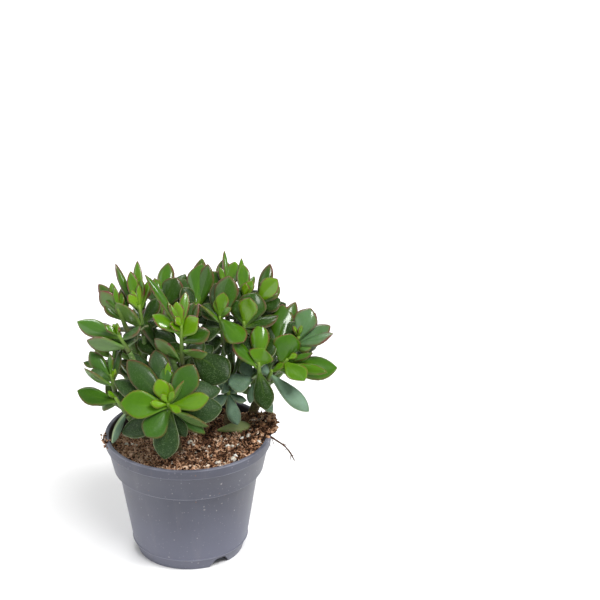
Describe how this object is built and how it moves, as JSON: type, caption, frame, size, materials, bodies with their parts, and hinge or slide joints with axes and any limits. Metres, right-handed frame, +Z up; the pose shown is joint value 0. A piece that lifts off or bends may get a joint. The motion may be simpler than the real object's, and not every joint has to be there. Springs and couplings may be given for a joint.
{
  "type": "potted jade plant",
  "caption": "Bushy jade plant with thick rounded leaves on forking stems, rooted in coir soil in a round collared nursery pot with a notched foot.",
  "frame": {"origin": "centre of the underside of the pot's foot, on the ground", "axes": "+Z up along the pot's axis; -Y towards the side that the picture shows, +X to its right"},
  "size_m": [0.1853, 0.1425, 0.2173],
  "materials": {
    "pot_plastic": "thin injection-moulded nursery pot plastic, blue-grey, faint satin, dusty",
    "soil": "crumbly brown coir and peat with white perlite grains",
    "stem": "young bark, green at the ends and brown near the soil",
    "leaf": "living succulent leaf, glossy green with a thin red-brown margin",
    "old_leaf": "dull olive leaf that has fallen",
    "dry_root": "dry brown root"
  },
  "bodies": {
    "root": {"fallen_leaf": "old_leaf", "pot": "pot_plastic", "root_strand": "dry_root", "shoot_back_left_foot": "leaf", "shoot_back_left_high": "leaf", "shoot_back_left_low": "leaf", "shoot_back_left_side": "leaf", "shoot_back_left_tall": "leaf", "shoot_back_middle_high": "leaf", "shoot_back_middle_low": "leaf", "shoot_back_right_high": "leaf", "shoot_back_right_low": "leaf", "shoot_back_right_side": "leaf", "shoot_big_round_leaf": "leaf", "shoot_centre_right": "leaf", "shoot_front_rosette": "leaf", "shoot_front_rosette_back": "leaf", "shoot_hanging_middle": "leaf", "shoot_hanging_right": "leaf", "shoot_inner_centre_high": "leaf", "shoot_inner_centre_low": "leaf", "shoot_inner_far_right": "leaf", "shoot_inner_front_left": "leaf", "shoot_inner_front_right": "leaf", "shoot_inner_middle": "leaf", "shoot_inner_upper_left": "leaf", "shoot_inner_upper_right": "leaf", "shoot_left_low": "leaf", "shoot_left_lowest": "leaf", "shoot_left_side": "leaf", "shoot_low_grey_leaves": "leaf", "shoot_middle_high": "leaf", "shoot_middle_left": "leaf", "shoot_right_back_high": "leaf", "shoot_right_glossy": "leaf", "shoot_right_high": "leaf", "shoot_right_low": "leaf", "shoot_right_pale": "leaf", "shoot_right_side_low": "leaf", "shoot_top_left": "leaf", "shoot_top_middle": "leaf", "shoot_top_right": "leaf", "shoot_upper_left": "leaf", "shoot_upper_left_side": "leaf", "shoot_upper_middle": "leaf", "soil": "soil", "stem_far_right": "stem", "stem_front": "stem", "stem_left": "stem", "stem_middle": "stem", "stem_right": "stem"}
  },
  "joints": []
}
